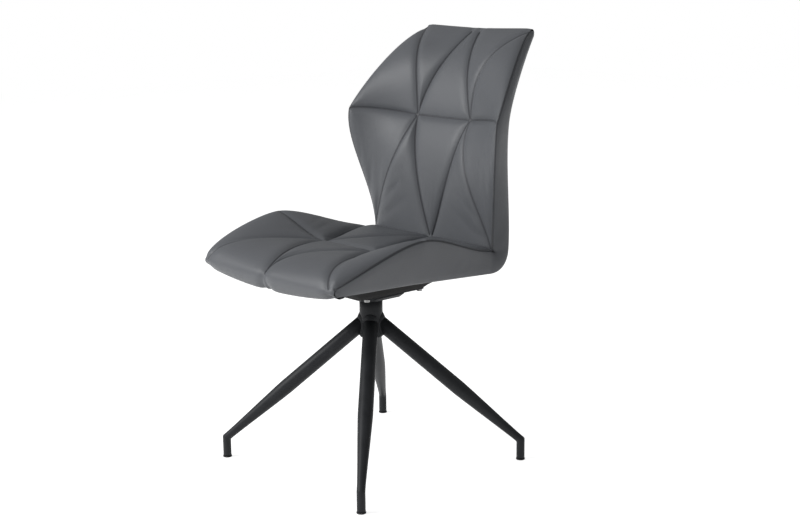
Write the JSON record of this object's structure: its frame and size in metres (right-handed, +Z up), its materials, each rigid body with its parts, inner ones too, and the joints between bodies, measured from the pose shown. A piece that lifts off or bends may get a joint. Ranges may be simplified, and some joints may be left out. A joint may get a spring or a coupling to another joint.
{
  "type": "swivel dining chair",
  "caption": "Armless swivel dining chair: quilted winged seat and back shells on a four-legged metal base with splayed round legs.",
  "frame": {"origin": "on the floor, on the swivel's axis, midway between the four feet", "axes": "+Z up along the swivel's axis; the chair faces -Y at rest; +X is to the left of a person seated in it, the near side in the picture"},
  "size_m": [0.4746, 0.59, 0.887],
  "materials": {
    "base_metal": "satin black powder coat",
    "black_plastic": "matte",
    "nylon": "matte",
    "zinc_plated": "zinc plated",
    "strap_steel": "plain",
    "plywood": "raw moulded plywood",
    "faux_leather": "fine grained, satin, grey",
    "felt": "black non-woven"
  },
  "bodies": {
    "base": {"leg_front_left": "base_metal", "leg_front_right": "base_metal", "leg_rear_left": "base_metal", "leg_rear_right": "base_metal", "glides": "black_plastic", "column": "base_metal", "column_cap": "black_plastic", "swivel_pan": "base_metal", "swivel_bearing": "nylon"},
    "seat": {"swivel_plate": "base_metal", "pivot_bolt": "zinc_plated", "pivot_nut": "zinc_plated", "seat_bolts": "zinc_plated", "threaded_inserts": "zinc_plated", "seat_shell": "plywood", "back_shell": "plywood", "strap_left": "strap_steel", "strap_right": "strap_steel", "seat_cushion": "faux_leather", "back_cushion": "faux_leather", "rear_cover": "faux_leather", "dust_cover": "felt", "side_band_left": "faux_leather", "side_band_right": "faux_leather"}
  },
  "joints": [
    {"name": "seat_swivel", "type": "hinge", "parent": "base", "child": "seat", "pos_m": [0, 0, 0.36], "axis": [0, 0, 1], "continuous": true}
  ]
}
